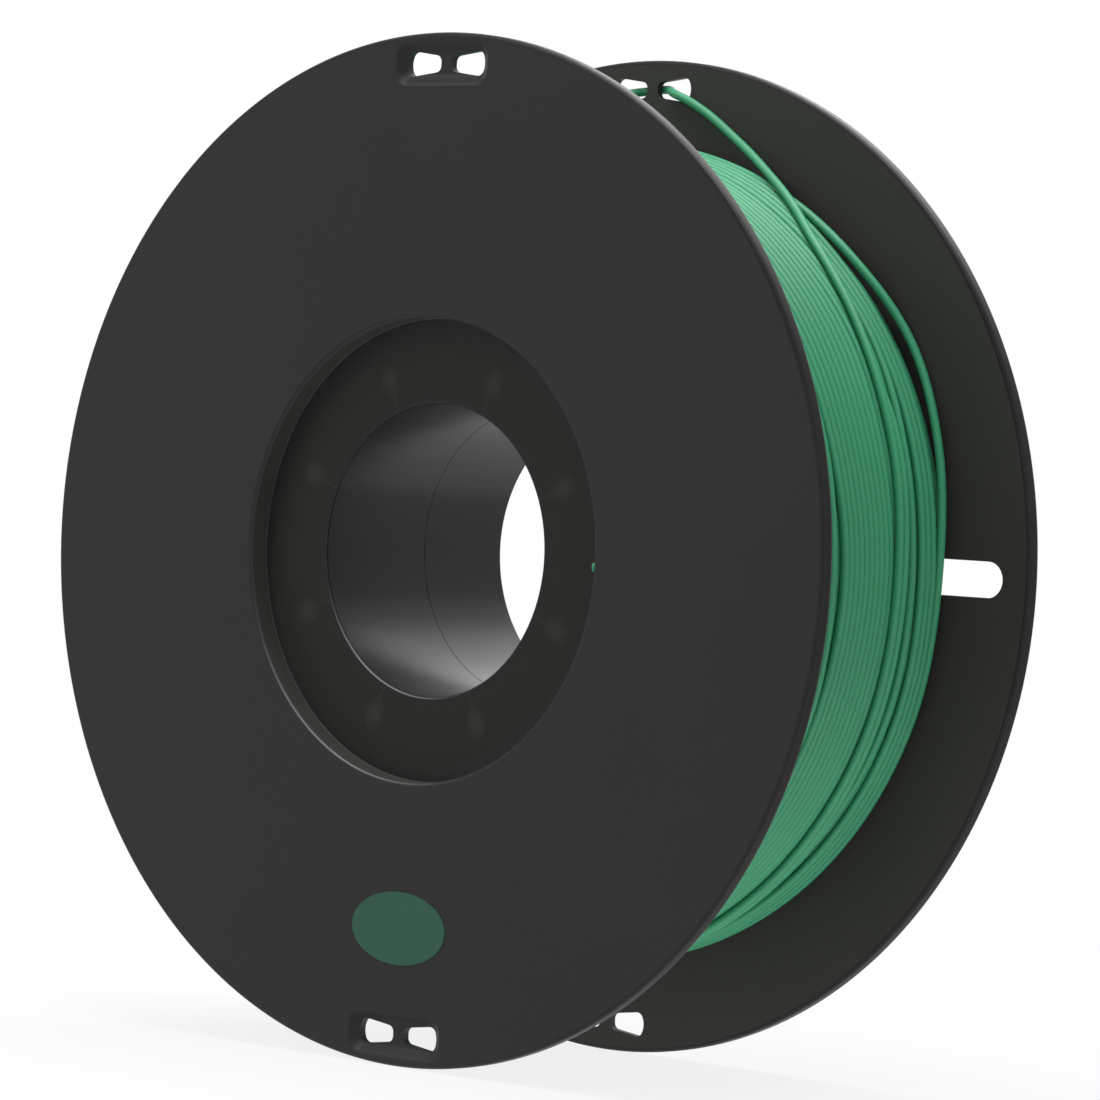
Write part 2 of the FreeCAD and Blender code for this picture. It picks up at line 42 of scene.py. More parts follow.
# Sizes of the spool and its wire, in mm, with one count and one angle.
WIDTH = 66.0
FLANGE_R = 100.0
FLANGE_T = 3.0
BARREL_R = 47.5
RECESS_R = 45.0
BORE_R = 28.5
BORE_WALL = 2.2
FLOOR_T = 2.0
FRONT_FLOOR = 4.5
REAR_FLOOR = 9.8
RIM_FILLET = 0.8
LIP_FILLET = 0.8
BORE_FILLET = 0.5
ANCHOR_HEIGHT = 94.0
SLOT_ROOT_R = 51.5
SLOT_TIP_R = 93.7
SLOT_HALF_WIDTH = 3.5
RIBS = 8
BOSS_CIRCLE_R = 35.3
START_HOLE = (46.25, -30.0, -1.0)
START_HOLE_R = 1.2
START_SLOPE = math.radians(23)
WIRE_R = 0.875
LAYER_R = 80.425
BELOW_R = 78.93


def mm(*values):
    return Vector(values) * MM


# Small helpers for shader nodes.

def new_material(name):
    material = bpy.data.materials.new(name)
    material.use_nodes = True
    tree = material.node_tree
    return material, tree, tree.nodes["Principled BSDF"]


def node(tree, kind, **values):
    made = tree.nodes.new(kind)
    for key, value in values.items():
        setattr(made, key, value)
    return made


def plug(tree, source, target):
    tree.links.new(source, target)


def give(tree, socket, value):
    """Sets a socket to a number or a colour, or links it to another node's output."""
    if isinstance(value, bpy.types.NodeSocket):
        plug(tree, value, socket)
    elif isinstance(value, tuple) and len(value) == 3 and socket.type == "RGBA":
        socket.default_value = (*value, 1)
    else:
        socket.default_value = value


def maths(tree, operation, first, second=None, clamp=False):
    made = node(tree, "ShaderNodeMath", operation=operation, use_clamp=clamp)
    give(tree, made.inputs[0], first)
    if second is not None:
        give(tree, made.inputs[1], second)
    return made.outputs[0]


def ramp(tree, value, from_min, from_max, to_min=0.0, to_max=1.0):
    """A soft step from one value to another."""
    made = node(tree, "ShaderNodeMapRange", interpolation_type="SMOOTHSTEP")
    plug(tree, value, made.inputs["Value"])
    for name, number in (("From Min", from_min), ("From Max", from_max),
                         ("To Min", to_min), ("To Max", to_max)):
        made.inputs[name].default_value = number
    return made.outputs["Result"]


def mix_colour(tree, amount, first, second):
    made = node(tree, "ShaderNodeMix", data_type="RGBA")
    give(tree, made.inputs["Factor"], amount)
    give(tree, made.inputs["A"], first)
    give(tree, made.inputs["B"], second)
    return made.outputs["Result"]


def choice(tree, factor, first, second):
    """A number that goes from the first to the second as the factor goes from 0 to 1."""
    made = node(tree, "ShaderNodeMix", data_type="FLOAT")
    give(tree, made.inputs["Factor"], factor)
    give(tree, made.inputs["A"], first)
    give(tree, made.inputs["B"], second)
    return made.outputs["Result"]


def hypotenuse(tree, first, second):
    squares = [maths(tree, "MULTIPLY", side, side) for side in (first, second)]
    return maths(tree, "SQRT", maths(tree, "ADD", *squares))


def object_place(tree):
    return node(tree, "ShaderNodeTexCoord").outputs["Object"]


def coordinates(tree, place):
    split = node(tree, "ShaderNodeSeparateXYZ")
    plug(tree, place, split.inputs[0])
    return split.outputs


def uneven_tone():
    """The group that every finish uses: a colour made uneven by broad clouds and a fine grain."""
    group = bpy.data.node_groups.new("uneven_tone", "ShaderNodeTree")
    for name, kind in (("Place", "NodeSocketVector"), ("Colour", "NodeSocketColor"),
                       ("Broad Scale", "NodeSocketFloat"), ("Fine Scale", "NodeSocketFloat"),
                       ("Fine Share", "NodeSocketFloat"), ("Spread", "NodeSocketFloat")):
        group.interface.new_socket(name=name, in_out="INPUT", socket_type=kind)
    for name, kind in (("Colour", "NodeSocketColor"), ("Broad", "NodeSocketFloat"),
                       ("Fine", "NodeSocketFloat")):
        group.interface.new_socket(name=name, in_out="OUTPUT", socket_type=kind)
    given = node(group, "NodeGroupInput").outputs
    result = node(group, "NodeGroupOutput").inputs
    layers = []
    for name, detail in (("Broad", 3.0), ("Fine", 2.0)):
        made = node(group, "ShaderNodeTexNoise")
        made.inputs["Detail"].default_value = detail
        plug(group, given["Place"], made.inputs["Vector"])
        plug(group, given[name + " Scale"], made.inputs["Scale"])
        plug(group, made.outputs["Fac"], result[name])
        layers.append(made.outputs["Fac"])
    tone = choice(group, given["Fine Share"], *layers)
    lift = maths(group, "MULTIPLY", maths(group, "SUBTRACT", tone, 0.5), 2.0)
    lift = maths(group, "ADD", maths(group, "MULTIPLY", lift, given["Spread"]), 1.0)
    shade = node(group, "ShaderNodeVectorMath", operation="SCALE")
    plug(group, given["Colour"], shade.inputs[0])
    plug(group, lift, shade.inputs["Scale"])
    plug(group, shade.outputs[0], result["Colour"])
    return group


UNEVEN_TONE = uneven_tone()


def toned(tree, place, colour, broad_scale, fine_scale, fine_share, spread):
    """Puts the tone group in a material and gives its outputs."""
    made = node(tree, "ShaderNodeGroup", node_tree=UNEVEN_TONE)
    plug(tree, place, made.inputs["Place"])
    for name, value in (("Colour", colour), ("Broad Scale", broad_scale), ("Fine Scale", fine_scale),
                        ("Fine Share", fine_share), ("Spread", spread)):
        give(tree, made.inputs[name], value)
    return made.outputs


def bumped(tree, shader, height, strength, distance):
    bump = node(tree, "ShaderNodeBump")
    bump.inputs["Strength"].default_value = strength
    bump.inputs["Distance"].default_value = distance * MM
    plug(tree, height, bump.inputs["Height"])
    plug(tree, bump.outputs["Normal"], shader.inputs["Normal"])


def rough_between(tree, shader, value, low, high):
    rough = node(tree, "ShaderNodeMapRange")
    plug(tree, value, rough.inputs["Value"])
    rough.inputs["To Min"].default_value = low
    rough.inputs["To Max"].default_value = high
    plug(tree, rough.outputs["Result"], shader.inputs["Roughness"])


# Where a finish has its marks, its painted light and shade, its painted highlight and its painted reflection:
# each of these gives a mask from 0 to 1.

def sink_marks_and_painted_light(tree, place):
    """A soft spot over each boss behind the hub's floor and a thin line over its rib, sink marks drawn
    lighter as a painted highlight, and painted light on a ring at the floor's outer edge, against the wall's
    shade.
    """
    x, _, z = coordinates(tree, place)
    radius = hypotenuse(tree, x, z)
    step = 2 * math.pi / RIBS
    spot_width, spot_length, line_width = 2.6 * MM, 3.4 * MM, 0.55 * MM
    turned = maths(tree, "ADD", maths(tree, "ARCTAN2", z, x), 4 * math.pi)
    local = maths(tree, "SUBTRACT", maths(tree, "MODULO", turned, step), step / 2)
    across = maths(tree, "ABSOLUTE", maths(tree, "MULTIPLY", radius, maths(tree, "SINE", local)))
    along = maths(tree, "SUBTRACT", radius, BOSS_CIRCLE_R * MM)
    away = hypotenuse(tree, maths(tree, "DIVIDE", across, spot_width),
                      maths(tree, "DIVIDE", along, spot_length))
    spot = maths(tree, "POWER", maths(tree, "SUBTRACT", 1.0, away, clamp=True), 0.7)
    line = maths(tree, "SUBTRACT", 1.0, maths(tree, "DIVIDE", across, line_width), clamp=True)
    inner = maths(tree, "LESS_THAN", along, 0.0)
    line = maths(tree, "MULTIPLY", maths(tree, "MULTIPLY", line, inner), 0.55)
    lit_ring = ramp(tree, radius, 40.0 * MM, 45.0 * MM, 0.0, 0.7)
    return maths(tree, "MAXIMUM", maths(tree, "MAXIMUM", spot, line), lit_ring)


def streaks_with_painted_reflection(tree, place):
    """Painted reflection on the bore: lighter patches at its top and bottom and further in, broken into
    streaks along the axis like those a core leaves.
    """
    _, y, z = coordinates(tree, place)
    reflection_band = ramp(tree, maths(tree, "ABSOLUTE", z), 9.0 * MM, 13.0 * MM)
    drawn = node(tree, "ShaderNodeVectorMath", operation="MULTIPLY")
    drawn.inputs[1].default_value = (1.0, 0.05, 1.0)
    plug(tree, place, drawn.inputs[0])
    streak = node(tree, "ShaderNodeTexNoise")
    streak.inputs["Scale"].default_value = 170.0
    streak.inputs["Detail"].default_value = 3.0
    streak.inputs["Roughness"].default_value = 0.6
    plug(tree, drawn.outputs[0], streak.inputs["Vector"])
    streak = maths(tree, "ADD", maths(tree, "MULTIPLY", streak.outputs["Fac"], 0.9), 0.45, clamp=True)
    further_in = ramp(tree, y, -30.0 * MM, -4.0 * MM, 0.3, 1.0)
    return maths(tree, "MULTIPLY", maths(tree, "MULTIPLY", reflection_band, streak), further_in)


def painted_highlight_arc(tree, place):
    """A painted highlight on the stretch at the lower left of the two lips."""
    x, _, z = coordinates(tree, place)
    away = maths(tree, "ABSOLUTE", maths(tree, "ADD", maths(tree, "ARCTAN2", z, x), math.radians(118)))
    return ramp(tree, away, 0.2, 0.85, 1.0, 0.0)


def painted_shade_upper_rim(tree, place):
    """The upper part of the rim, fading out a little above the axis, where the rim's fillets are painted
    darker as painted shade.
    """
    return ramp(tree, coordinates(tree, place)["Z"], 10.0 * MM, 60.0 * MM)


def plastic(name, colour, roughness, gloss, mask=None, accent=None, sunk=0.0):
    """Moulded charcoal styrene: faint flow clouds, a satin grain, and an accent colour where the mask is."""
    material, tree, shader = new_material(name)
    place = object_place(tree)
    tone = toned(tree, place, colour, broad_scale=18.0, fine_scale=2600.0, fine_share=0.0, spread=0.13)
    base = tone["Colour"]
    height = maths(tree, "MULTIPLY", tone["Fine"], 0.006)
    if mask:
        mark = mask(tree, place)
        base = mix_colour(tree, mark, base, accent)
        height = maths(tree, "SUBTRACT", height, maths(tree, "MULTIPLY", mark, sunk))
    plug(tree, base, shader.inputs["Base Color"])
    rough_between(tree, shader, tone["Broad"], roughness - 0.05, roughness + 0.06)
    shader.inputs["Specular IOR Level"].default_value = gloss
    bumped(tree, shader, height, 0.5, 1.0)
    return material


def insulation(name, colour):
    """Extruded green insulation: long soft shade changes along the strand and a very fine satin skin."""
    material, tree, shader = new_material(name)
    tone = toned(tree, object_place(tree), colour, broad_scale=30.0, fine_scale=900.0, fine_share=0.25,
                 spread=0.14)
    plug(tree, tone["Colour"], shader.inputs["Base Color"])
    rough_between(tree, shader, tone["Fine"], 0.42, 0.56)
    shader.inputs["Specular IOR Level"].default_value = 0.36
    bumped(tree, shader, tone["Fine"], 0.25, 0.02)
    return material


def label_paper(name, colour):
    """Matt paper, a little mottled."""
    material, tree, shader = new_material(name)
    tone = toned(tree, object_place(tree), colour, broad_scale=120.0, fine_scale=700.0, fine_share=0.5,
                 spread=0.12)
    plug(tree, tone["Colour"], shader.inputs["Base Color"])
    shader.inputs["Roughness"].default_value = 0.62
    shader.inputs["Specular IOR Level"].default_value = 0.2
    bumped(tree, shader, tone["Fine"], 0.3, 0.03)
    return material


face_plastic = plastic("charcoal_plastic_face", (0.0134, 0.0146, 0.0134), 0.45, 0.19)
# Painted light: the flanges' inner faces are a lighter copy of the plastic, against the shade between the
# flanges.
inner_plastic_painted_light = plastic("charcoal_plastic_inner_face", (0.0360, 0.0350, 0.0315), 0.52, 0.15)
# Painted shade: the rim's band is a darker copy of the face's plastic.
rim_plastic_painted_shade = plastic("charcoal_plastic_rim", (0.0052, 0.0050, 0.0052), 0.36, 0.12)
# Painted shade: the rim's fillets are darker over the upper part of the rim.
fillet_plastic = plastic("charcoal_plastic_rim_fillets", (0.0140, 0.0142, 0.0138), 0.42, 0.16,
                         painted_shade_upper_rim, (0.0055, 0.0054, 0.0055))
# Painted highlight: the lips are lighter on an arc at the lower left, where the top light's glint falls.
lip_plastic_painted_highlight = plastic("charcoal_plastic_lips", (0.0120, 0.0122, 0.0120), 0.30, 0.22,
                      painted_highlight_arc, (0.1500, 0.1500, 0.1480))
# Painted light: the recess walls, the lips' inner strips and the walls of the holes, slot and pockets are a
# lighter copy of the plastic, against their shade.
wall_plastic_painted_light = plastic("charcoal_plastic_walls", (0.0460, 0.0460, 0.0425), 0.50, 0.15)
# Painted highlight on the sink marks, which the bump also sinks, and painted light on the hub floor towards
# the recess wall.
hub_plastic = plastic("charcoal_plastic_hub", (0.0128, 0.0128, 0.0116), 0.50, 0.12,
                      sink_marks_and_painted_light, (0.0250, 0.0252, 0.0236), 0.12)
# Painted reflection: the bore is lighter and purple-grey in streaky patches at its top and bottom.
bore_plastic = plastic("charcoal_plastic_bore", (0.0060, 0.0058, 0.0058), 0.32, 0.26,
                       streaks_with_painted_reflection, (0.0520, 0.0500, 0.0560))
MOULDING_FINISHES = [face_plastic, inner_plastic_painted_light, rim_plastic_painted_shade, fillet_plastic, lip_plastic_painted_highlight, wall_plastic_painted_light,
                     hub_plastic, bore_plastic]
green_insulation = insulation("green_insulation", (0.033, 0.250, 0.123))
label_green = label_paper("label_paper", (0.0220, 0.0815, 0.0500))


# Small helpers for meshes.

def rounded(corners, steps=5):
    """A closed outline whose corners, given as (across, along, radius), are turned into arcs."""
    points = []
    count = len(corners)
    for number, (a, b, radius) in enumerate(corners):
        here = Vector((a, b))
        before = Vector(corners[number - 1][:2]) - here
        after = Vector(corners[(number + 1) % count][:2]) - here
        if radius <= 0:
            points.append(here)
            continue
        half_angle = before.angle(after) / 2
        trim = radius / math.tan(half_angle)
        inward = (before.normalized() + after.normalized()).normalized()
        middle = here + inward * (radius / math.sin(half_angle))
        start = here + before.normalized() * trim - middle
        sweep = start.angle_signed(here + after.normalized() * trim - middle)
        for step in range(steps + 1):
            turn = -sweep * step / steps
            points.append(middle + Vector((start.x * math.cos(turn) - start.y * math.sin(turn),
                                           start.x * math.sin(turn) + start.y * math.cos(turn))))
    return points


def edge_loop(bm, points):
    """A closed loop of edges through points in mm."""
    verts = [bm.verts.new(mm(*point)) for point in points]
    edges = [bm.edges.new(pair) for pair in zip(verts, verts[1:] + verts[:1])]
    return verts, edges


def lathe(outline, segments):
    """Spins a closed outline of (radius, place along Y) round the Y axis."""
    bm = bmesh.new()
    verts, edges = edge_loop(bm, [(r, y, 0) for r, y in outline])
    bmesh.ops.spin(bm, geom=verts + edges, cent=(0, 0, 0), axis=(0, 1, 0), angle=2 * math.pi,
                   steps=segments, use_merge=True)
    bmesh.ops.recalc_face_normals(bm, faces=bm.faces)
    return bm


def stacked(levels):
    """A closed form through outlines in X and Z, each with its place along Y."""
    bm = bmesh.new()
    loops = [edge_loop(bm, [(x, y, z) for x, z in outline])[1] for y, outline in levels]
    for near, far in zip(loops, loops[1:]):
        bmesh.ops.bridge_loops(bm, edges=near + far)
    for end in (loops[0], loops[-1]):
        bmesh.ops.contextual_create(bm, geom=end)
    bmesh.ops.recalc_face_normals(bm, faces=bm.faces)
    return bm


def extruded(bm, faces, offset):
    """Pulls the faces out by an offset in mm and gives the vertices that moved."""
    grown = bmesh.ops.extrude_face_region(bm, geom=faces)["geom"]
    verts = [item for item in grown if isinstance(item, bmesh.types.BMVert)]
    bmesh.ops.translate(bm, verts=verts, vec=mm(*offset))
    return verts


def prism(outline, low, high):
    """An outline in X and Z, extruded along Y."""
    bm = bmesh.new()
    verts, _ = edge_loop(bm, [(x, low, z) for x, z in outline])
    extruded(bm, [bm.faces.new(verts)], (0, high - low, 0))
    bmesh.ops.recalc_face_normals(bm, faces=bm.faces)
    return bm


def linked(name, data, material):
    made = bpy.data.objects.new(name, data)
    bpy.context.scene.collection.objects.link(made)
    data.materials.append(material)
    return made


def to_object(bm, name, material):
    mesh = bpy.data.meshes.new(name)
    bm.to_mesh(mesh)
    bm.free()
    return linked(name, mesh, material)


def applied(thing):
    """Bakes the object's modifiers into its mesh."""
    graph = bpy.context.evaluated_depsgraph_get()
    mesh = bpy.data.meshes.new_from_object(thing.evaluated_get(graph))
    thing.modifiers.clear()
    old = thing.data
    thing.data = mesh
    bpy.data.meshes.remove(old)
    mesh.name = thing.name


def cut_out(thing, cutters):
    for cutter in cutters:
        modifier = thing.modifiers.new("cut", "BOOLEAN")
        modifier.operation = "DIFFERENCE"
        modifier.solver = "EXACT"
        modifier.object = cutter
    applied(thing)
    for cutter in cutters:
        mesh = cutter.data
        bpy.data.objects.remove(cutter)
        bpy.data.meshes.remove(mesh)


def smooth(thing, degrees=38):
    for polygon in thing.data.polygons:
        polygon.use_smooth = True
    thing.data.set_sharp_from_angle(angle=math.radians(degrees))
    modifier = thing.modifiers.new("weighted", "WEIGHTED_NORMAL")
    modifier.keep_sharp = True
    modifier.weight = 50
    applied(thing)


def soften(thing, width, degrees=42, segments=2):
    modifier = thing.modifiers.new("soften", "BEVEL")
    modifier.width = width * MM
    modifier.segments = segments
    modifier.limit_method = "ANGLE"
    modifier.angle_limit = math.radians(degrees)
    modifier.harden_normals = False
    modifier.use_clamp_overlap = True
    applied(thing)


def finished(thing, stands_for):
    """Says which node of the frame a piece replaces, and what it rides on."""
    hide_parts(stands_for)
    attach(thing, "root")


# The two mouldings.

def keystone(side):
    """One anchor hole: narrow beside the bridge, wide and round at its outer end."""
    corners = [(1.35, -1.5, 1.3), (9.3, -2.55, 1.5), (10.5, 0, 3.5), (9.3, 2.55, 1.5), (1.35, 1.5, 1.3)]
    return [(side * x, z) for x, z in rounded(corners, 5)]


# How far the pocket's outline spreads at each depth below the face.
POCKET_DEPTH = 1.5
POCKET_SPREAD = ((POCKET_DEPTH, -1.9), (1.37, -1.4), (1.1, -0.9), (0.7, -0.4), (0.35, 0.0), (0.12, 0.35),
                 (0.0, 0.7), (-1.0, 1.7))


def pocket(up, sign):
    """The soft-edged hollow that two anchor holes share."""
    levels = []
    for depth, spread in POCKET_SPREAD:
        x, z, r = 11.5 + spread, 3.8 + spread, 2.7 + spread
        outline = rounded([(-x, -z, r), (x, -z, r), (x, z, r), (-x, z, r)], 6)
        levels.append((sign * (WIDTH / 2 - depth), [(a, b + up * ANCHOR_HEIGHT) for a, b in outline]))
    return stacked(levels)


def start_hole():
    """The slanting hole through the barrel wall for the wire's inner end."""
    bm = bmesh.new()
    bmesh.ops.create_cone(bm, cap_ends=True, segments=32, radius1=START_HOLE_R * MM,
                          radius2=START_HOLE_R * MM, depth=10 * MM)
    turn = Matrix.Rotation(START_SLOPE, 4, "Z") @ Matrix.Rotation(math.radians(90), 4, "Y")
    bm.transform(Matrix.Translation(mm(*START_HOLE)) @ turn)
    return bm


# How far short of a border a face still counts as past it, in mm, and how much a face has to look along the
# axis to be the rim's round edge, the lip's strip with the painted highlight, a level face, or the hub floor
# beside the bore.
NEAR = 0.05
ROUND_EDGE, LIP_STRIP, LEVEL_FACE, LEVEL_FLOOR = 0.1, 0.6, 0.8, 0.97


def finish_of(centre, normal, sign, floor):
    """Which of the mould's finishes a face of the moulding has, from where it lies and looks; several are
    lighter copies with painted light and darker copies with painted shade.
    """
    r = math.hypot(centre.x, centre.z)
    outward = normal.y * sign
    depth = WIDTH / 2 - centre.y * sign
    on_flange = r > BARREL_R + 1
    in_hole_or_slot = depth > POCKET_DEPTH - NEAR or abs(centre.z) < SLOT_HALF_WIDTH + 1.5
    in_lip = depth < LIP_FILLET + 0.02 and RECESS_R - NEAR < r < RECESS_R + LIP_FILLET + 0.02
    if r < BORE_R + 0.1:
        return bore_plastic
    if r > FLANGE_R - RIM_FILLET - NEAR:
        return rim_plastic_painted_shade if abs(outward) < ROUND_EDGE else fillet_plastic
    if on_flange and depth > FLANGE_T - NEAR:
        return inner_plastic_painted_light
    if on_flange and abs(outward) < LEVEL_FACE and in_hole_or_slot:
        return wall_plastic_painted_light
    if in_lip:
        if outward > LEVEL_FACE:
            return face_plastic
        return lip_plastic_painted_highlight if outward > LIP_STRIP else wall_plastic_painted_light
    if r < BORE_R + BORE_FILLET + 0.1 and outward < LEVEL_FLOOR:
        return lip_plastic_painted_highlight
    if RECESS_R - 0.2 < r < RECESS_R + 0.1 and centre.y * sign > floor:
        return wall_plastic_painted_light
    if r < RECESS_R + 0.1 and centre.y * sign > floor - FLOOR_T / 2:
        return hub_plastic
    return face_plastic


def half(name, sign, floor_depth, has_slot, has_start_hole):
    """One moulding, from the parting face at mid-width to its flange; a sign of 1 is the rear one."""
    edge = WIDTH / 2
    floor = edge - floor_depth
    under = floor - FLOOR_T
    outline = rounded([
        (BORE_R, 0.0, 0.12), (BORE_R, floor, BORE_FILLET),
        (RECESS_R, floor, 0.15), (RECESS_R, edge, LIP_FILLET),
        (FLANGE_R, edge, RIM_FILLET), (FLANGE_R, edge - FLANGE_T, RIM_FILLET),
        (BARREL_R, edge - FLANGE_T, 0.5), (BARREL_R, 0.0, 0.12), (RECESS_R, 0.0, 0.0), (RECESS_R, under, 0.3),
        (BORE_R + BORE_WALL, under, 0.3), (BORE_R + BORE_WALL, 0.0, 0.0),
    ], 5)
    thing = to_object(lathe([(r, sign * y) for r, y in outline], 256), name, face_plastic)
    inside, outside = sign * (edge - FLANGE_T - 1), sign * (edge + 1)
    forms = []
    for up in (1, -1):
        forms.append(pocket(up, sign))
        for side in (1, -1):
            hole = [(x, z + up * ANCHOR_HEIGHT) for x, z in keystone(side)]
            forms.append(prism(hole, inside, outside))
    if has_slot:
        corners = ((SLOT_ROOT_R, -SLOT_HALF_WIDTH), (SLOT_TIP_R, -SLOT_HALF_WIDTH),
                   (SLOT_TIP_R, SLOT_HALF_WIDTH), (SLOT_ROOT_R, SLOT_HALF_WIDTH))
        slot = rounded([(x, z, SLOT_HALF_WIDTH - 0.01) for x, z in corners], 8)
        forms.append(prism(slot, inside, outside))
    if has_start_hole:
        forms.append(start_hole())
    cut_out(thing, [to_object(form, "cutter", face_plastic) for form in forms])
    soften(thing, 0.3)
    smooth(thing)
    thing.data.materials.clear()
    for finish in MOULDING_FINISHES:
        thing.data.materials.append(finish)
    for polygon in thing.data.polygons:
        finish = finish_of(polygon.center / MM, polygon.normal, sign, floor)
        polygon.material_index = MOULDING_FINISHES.index(finish)
    return thing


front_moulding = half("front_moulding", -1, FRONT_FLOOR, False, True)
finished(front_moulding, "front_half")
rear_moulding = half("rear_moulding", 1, REAR_FLOOR, True, False)
finished(rear_moulding, "rear_half")


# The wound wire.

def round_axis(degrees, radius, place):
    """A point round the axis, counted from +X towards +Z, in mm."""
    angle = math.radians(degrees)
    return Vector((radius * math.cos(angle), place, radius * math.sin(angle)))


def through(knots, steps_per_turn):
    """Points on a smooth line through knots of (degrees, radius, place), each evened by its neighbours."""
    slopes = []
    for number in range(len(knots)):
        before, after = knots[max(number - 1, 0)], knots[min(number + 1, len(knots) - 1)]
        span = after[0] - before[0]
        slopes.append([(after[k] - before[k]) / span for k in (1, 2)])
    points = []
    start, end = knots[0][0], knots[-1][0]
    count = round((end - start) / 360 * steps_per_turn)
    index = 0
    for step in range(count + 1):
        degrees = start + (end - start) * step / count
        while index < len(knots) - 2 and degrees > knots[index + 1][0]:
            index += 1
        a, b = knots[index], knots[index + 1]
        span = b[0] - a[0]
        t = (degrees - a[0]) / span
        values = []
        for k in (1, 2):
            m0, m1 = slopes[index][k - 1] * span, slopes[index + 1][k - 1] * span
            values.append((2 * t ** 3 - 3 * t ** 2 + 1) * a[k] + (t ** 3 - 2 * t ** 2 + t) * m0
                          + (3 * t ** 2 - 2 * t ** 3) * b[k] + (t ** 3 - t ** 2) * m1)
        points.append(round_axis(degrees, *values))
    return points


def wire_curve(name, points, kind, resolution):
    """A round wire along points in mm; a resolution of 0 gives it 4 sides, and each further one 2 more."""
    curve = bpy.data.curves.new(name, "CURVE")
    curve.dimensions = "3D"
    curve.bevel_depth = WIRE_R * MM
    curve.bevel_resolution = resolution
    curve.use_fill_caps = True
    spline = curve.splines.new(kind)
    spline.points.add(len(points) - 1)
    for target, point in zip(spline.points, points):
        target.co = (*mm(*point), 1)
    return linked(name, curve, green_insulation)


def strand(name, points, resolution):
    """A wire whose curve has been made a mesh."""
    wire = wire_curve(name, points, "POLY", resolution)
    curve = wire.data
    graph = bpy.context.evaluated_depsgraph_get()
    mesh = bpy.data.meshes.new_from_object(wire.evaluated_get(graph))
    bpy.data.objects.remove(wire)
    bpy.data.curves.remove(curve)
    bm = bmesh.new()
    bm.from_mesh(mesh)
    bpy.data.meshes.remove(mesh)
    bmesh.ops.remove_doubles(bm, verts=bm.verts, dist=0.000001)
    bmesh.ops.recalc_face_normals(bm, faces=bm.faces)
    return bm


# Where the turns lie along the axis, at nine angles up the side that the photograph shows, and how far
# each is lifted off the layer's own radius there.
ANGLES = (-66, -43, -20, 0, 18, 33, 48, 66, 84)
LEVEL = (0.0,) * len(ANGLES)
FRONT_TURNS = 12
FRONT_EDGE = -29.0
SINGLE = (-7.4, -5.9, -4.6, -5.6, -5.4, -5.5, -5.8, -6.0, -6.1)
FINE_TURNS = 10
FINE_FIRST = (-4.6, -3.7, -2.3, -1.8, -3.2, -3.7, -4.0, -4.2, -4.3)
FINE_LAST = (10.0, 11.1, 11.9, 12.0, 11.5, 12.2, 12.0, 12.2, 12.3)
LATER = [
    ((11.7, 12.8, 13.6, 13.6, 13.3, 14.3, 13.8, 14.0, 14.1), LEVEL),
    ((12.6, 13.7, 14.6, 14.4, 15.45, 16.1, 15.5, 15.8, 15.8), (1.5, 1.5, 1.5, 1.52, 1.6, 0, 0, 0, 0)),
    ((13.4, 14.5, 15.5, 15.2, 16.3, 17.9, 17.3, 17.6, 17.6), (0, 0, 0, 0, 0, 0, 0, 0.2, 0.2)),
    ((17.0, 17.4, 19.4, 18.7, 19.3, 20.4, 19.9, 19.6, 19.6), (0, 0, 0, 0, 0, 0, 0, 0.5, 0.5)),
    ((20.5, 22.0, 22.9, 21.9, 22.3, 22.2, 21.6, 21.3, 21.3), (0, 0, 0, 0, 0, 0, 0.1, 0.8, 0.8)),
    ((22.3, 23.7, 24.5, 23.5, 23.9, 23.8, 23.2, 23.0, 23.0), (0, 0, 0, 0, 0, 0, 0.2, 1.05, 1.05)),
    ((24.1, 25.4, 26.0, 25.1, 25.5, 25.4, 24.9, 24.7, 24.7), (0, 0, 0, 0, 0, 0, 0.3, 1.3, 1.3)),
    ((25.9, 27.0, 27.6, 26.7, 27.8, 28.8, 25.9, 26.3, 26.4), (0, 0, 0, 0.5, 2.0, 2.6, 2.6, 1.75, 1.8)),
]
# Round the back each turn goes evenly from its own last place to the next turn's first: the angle, and how
# much of its own lift and of the next turn's it has there.
BEHIND = ((105, 0.9, 0.45), (150, 0.3, 0.7), (200, 0.0, 0.87), (250, 0.0, 0.97))
# The last turn crosses over the others and leaves the layer: angle, lift, place.
CROSSING = ((105, 1.9, 26.4), (150, 2.3, 25.0), (200, 2.0, 20.5), (250, 1.8, 15.0), (294, 1.6, 11.0),
            (317, 1.55, 11.95), (340, 1.53, 12.9), (360, 1.55, 12.65), (371, 1.695, 13.3))


def turns_of_layer():
    """Each turn's places and lifts at the nine angles, from the front flange to the rear one."""
    rows = []
    for number in range(FRONT_TURNS):
        share = number / FRONT_TURNS
        rows.append(([FRONT_EDGE + (y - FRONT_EDGE) * share for y in SINGLE], LEVEL))
    rows.append((SINGLE, LEVEL))
    for number in range(FINE_TURNS):
        share = number / (FINE_TURNS - 1)
        rows.append(([a + (b - a) * share for a, b in zip(FINE_FIRST, FINE_LAST)], LEVEL))
    return rows + LATER


